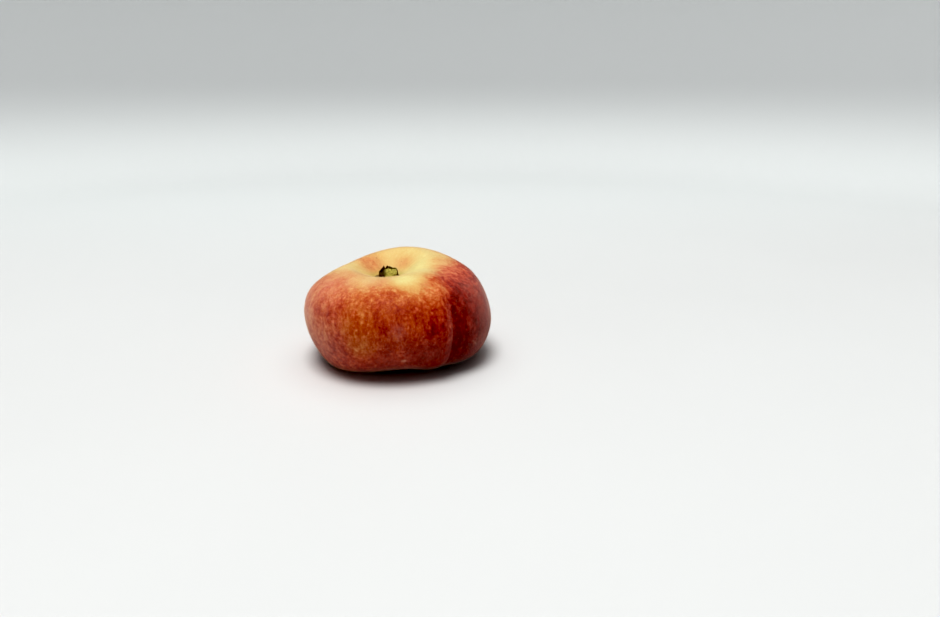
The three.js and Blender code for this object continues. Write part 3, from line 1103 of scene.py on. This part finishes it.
turned = node(scatter, "FunctionNodeAlignRotationToVector", {"axis": "Z"}, Vector=lean).outputs[0]
sizes = {"n2": SHORTEST, "n3": LONGEST, "Seed": 5}
grown = node(scatter, "FunctionNodeRandomValue", {"data_type": "FLOAT"}, **sizes).outputs[1]
model = node(scatter, "GeometryNodeObjectInfo", {"transform_space": "ORIGINAL"}, Object=hair)
each = {"Points": points.outputs["Points"], "Instance": model.outputs["Geometry"]}
placed = node(scatter, "GeometryNodeInstanceOnPoints", Rotation=turned, Scale=grown, **each).outputs[0]
real = node(scatter, "GeometryNodeRealizeInstances", Geometry=placed).outputs[0]
scatter.links.new(real, go.inputs[0])
print("scattering takes", len(scatter.nodes), "nodes")

# %% [markdown]
# ## The colour of the down
# Down is nearly white, but light comes through it from the skin, and a hair in shade is the colour of
# what it stands on. So a hair is warm near its root and paler towards its tip, and it reads the skin's
# pattern, made stronger, at the place where it grows. Without that the streaks would fade wherever the
# skin is seen at a slant, through many hairs.

# %% Down material
STRONGER = 4.0

down_hair, tree, shader = material("down")
flat = node(tree, "ShaderNodeUVMap", {"uv_map": "OFBake"}).outputs[0]
along = node(tree, "ShaderNodeSeparateXYZ", n0=flat)
given, made = read_pattern(tree)
change = maths(tree, "SUBTRACT", made["Ripeness"], given["Blush"])
below = times_plus(tree, change, STRONGER, given["Blush"], clamp=True)
root_colour = blend(tree, below, colour(236, 214, 160), colour(178, 104, 90))
tip_colour = blend(tree, below, colour(246, 236, 206), colour(228, 198, 186))
hair_colour = blend(tree, along.outputs["Y"], root_colour, tip_colour)
feed(tree, shader, Base_Color=hair_colour, Roughness=0.6, Specular_IOR_Level=0.3)
print("down has", len(tree.nodes), "nodes")

# %% Where the down grows
IN_HOLLOW = 0.15  # as thick as outside it
RUBBED_OFF = 0.7  # by cork
TUFT, TUFT_SIZE, TUFT_SEED = 0.5, 1.3, 9

coat = step(deep, 5.2, 8.0) * (1 - IN_HOLLOW) + IN_HOLLOW
coat = np.where(spots[:, 2] > UPPER_SIDE, np.where(deep < 4.3, 0, coat), 1)  # none on the stalk's scar
coat *= (1 - RUBBED_OFF * np.clip(cork, 0, 1)) * step(spots[:, 2], 0.4, 1.2)  # none on the foot
coat *= 1 + TUFT * ripple(spots, TUFT_SIZE, TUFT_SEED)
print("the down is up to", round(coat.max(), 2), "times as thick in a tuft")

# %% Down in quarters
QUARTERS = {"down_front": -90, "down_right": 0, "down_back": 90, "down_left": 180}
UNREAD = ("beside", "cork", "blossom", "bloom", "quarter")  # what no hair's material asks for

total = 0
for seed, (name, middle) in enumerate(QUARTERS.items(), FIRST_SEED):
    away = np.abs((np.degrees(around) - middle + 180) % 360 - 180)
    piece = add_to_scene(name, skin.data.copy())
    keep(piece, "quarter", coat * (away <= 45))
    points.inputs["Seed"].default_value = seed
    scattering = piece.modifiers.new("down", "NODES")
    scattering.node_group = scatter
    apply_modifiers(piece)
    piece.data.materials.clear()
    piece.data.materials.append(down_hair)
    for layer in [a.name for a in piece.data.attributes if a.name in UNREAD]:
        piece.data.attributes.remove(piece.data.attributes[layer])
    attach(piece, "root")
    count = sum(len(f.vertices) - 2 for f in piece.data.polygons)
    total += count
    print(name, len(piece.data.polygons) // 4, "hairs,", count, "triangles")
bpy.data.objects.remove(hair)
bpy.data.node_groups.remove(scatter)
print("down", total, "triangles in all")
